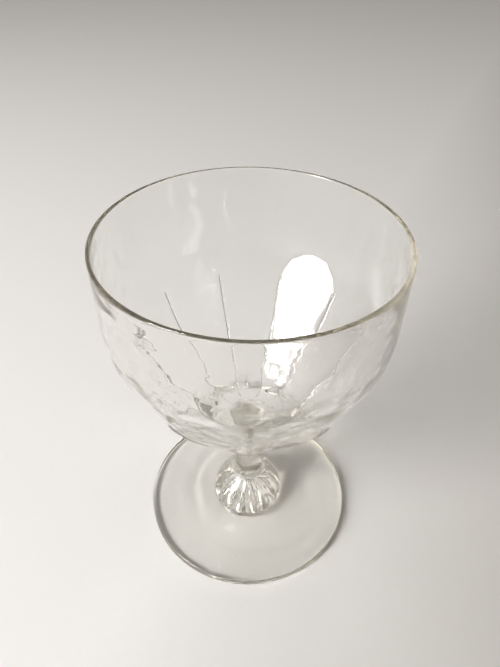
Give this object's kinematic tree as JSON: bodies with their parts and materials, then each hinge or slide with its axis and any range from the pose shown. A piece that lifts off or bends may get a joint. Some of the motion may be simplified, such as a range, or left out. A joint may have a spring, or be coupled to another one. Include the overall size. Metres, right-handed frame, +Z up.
{
  "type": "rummer glass",
  "caption": "Clear glass rummer: wide cup bowl with shallow moulded petals below a plain rim, on a short stem, a ribbed dome and a round disc foot.",
  "frame": {"origin": "centre of the foot, in the plane that the glass stands on", "axes": "+Z up along the axis of the glass, through stem and bowl; X and Y are alike"},
  "size_m": [0.09, 0.09, 0.1262],
  "materials": {
    "clear_glass": "polished"
  },
  "bodies": {
    "root": {"rummer": "clear_glass"}
  },
  "joints": []
}
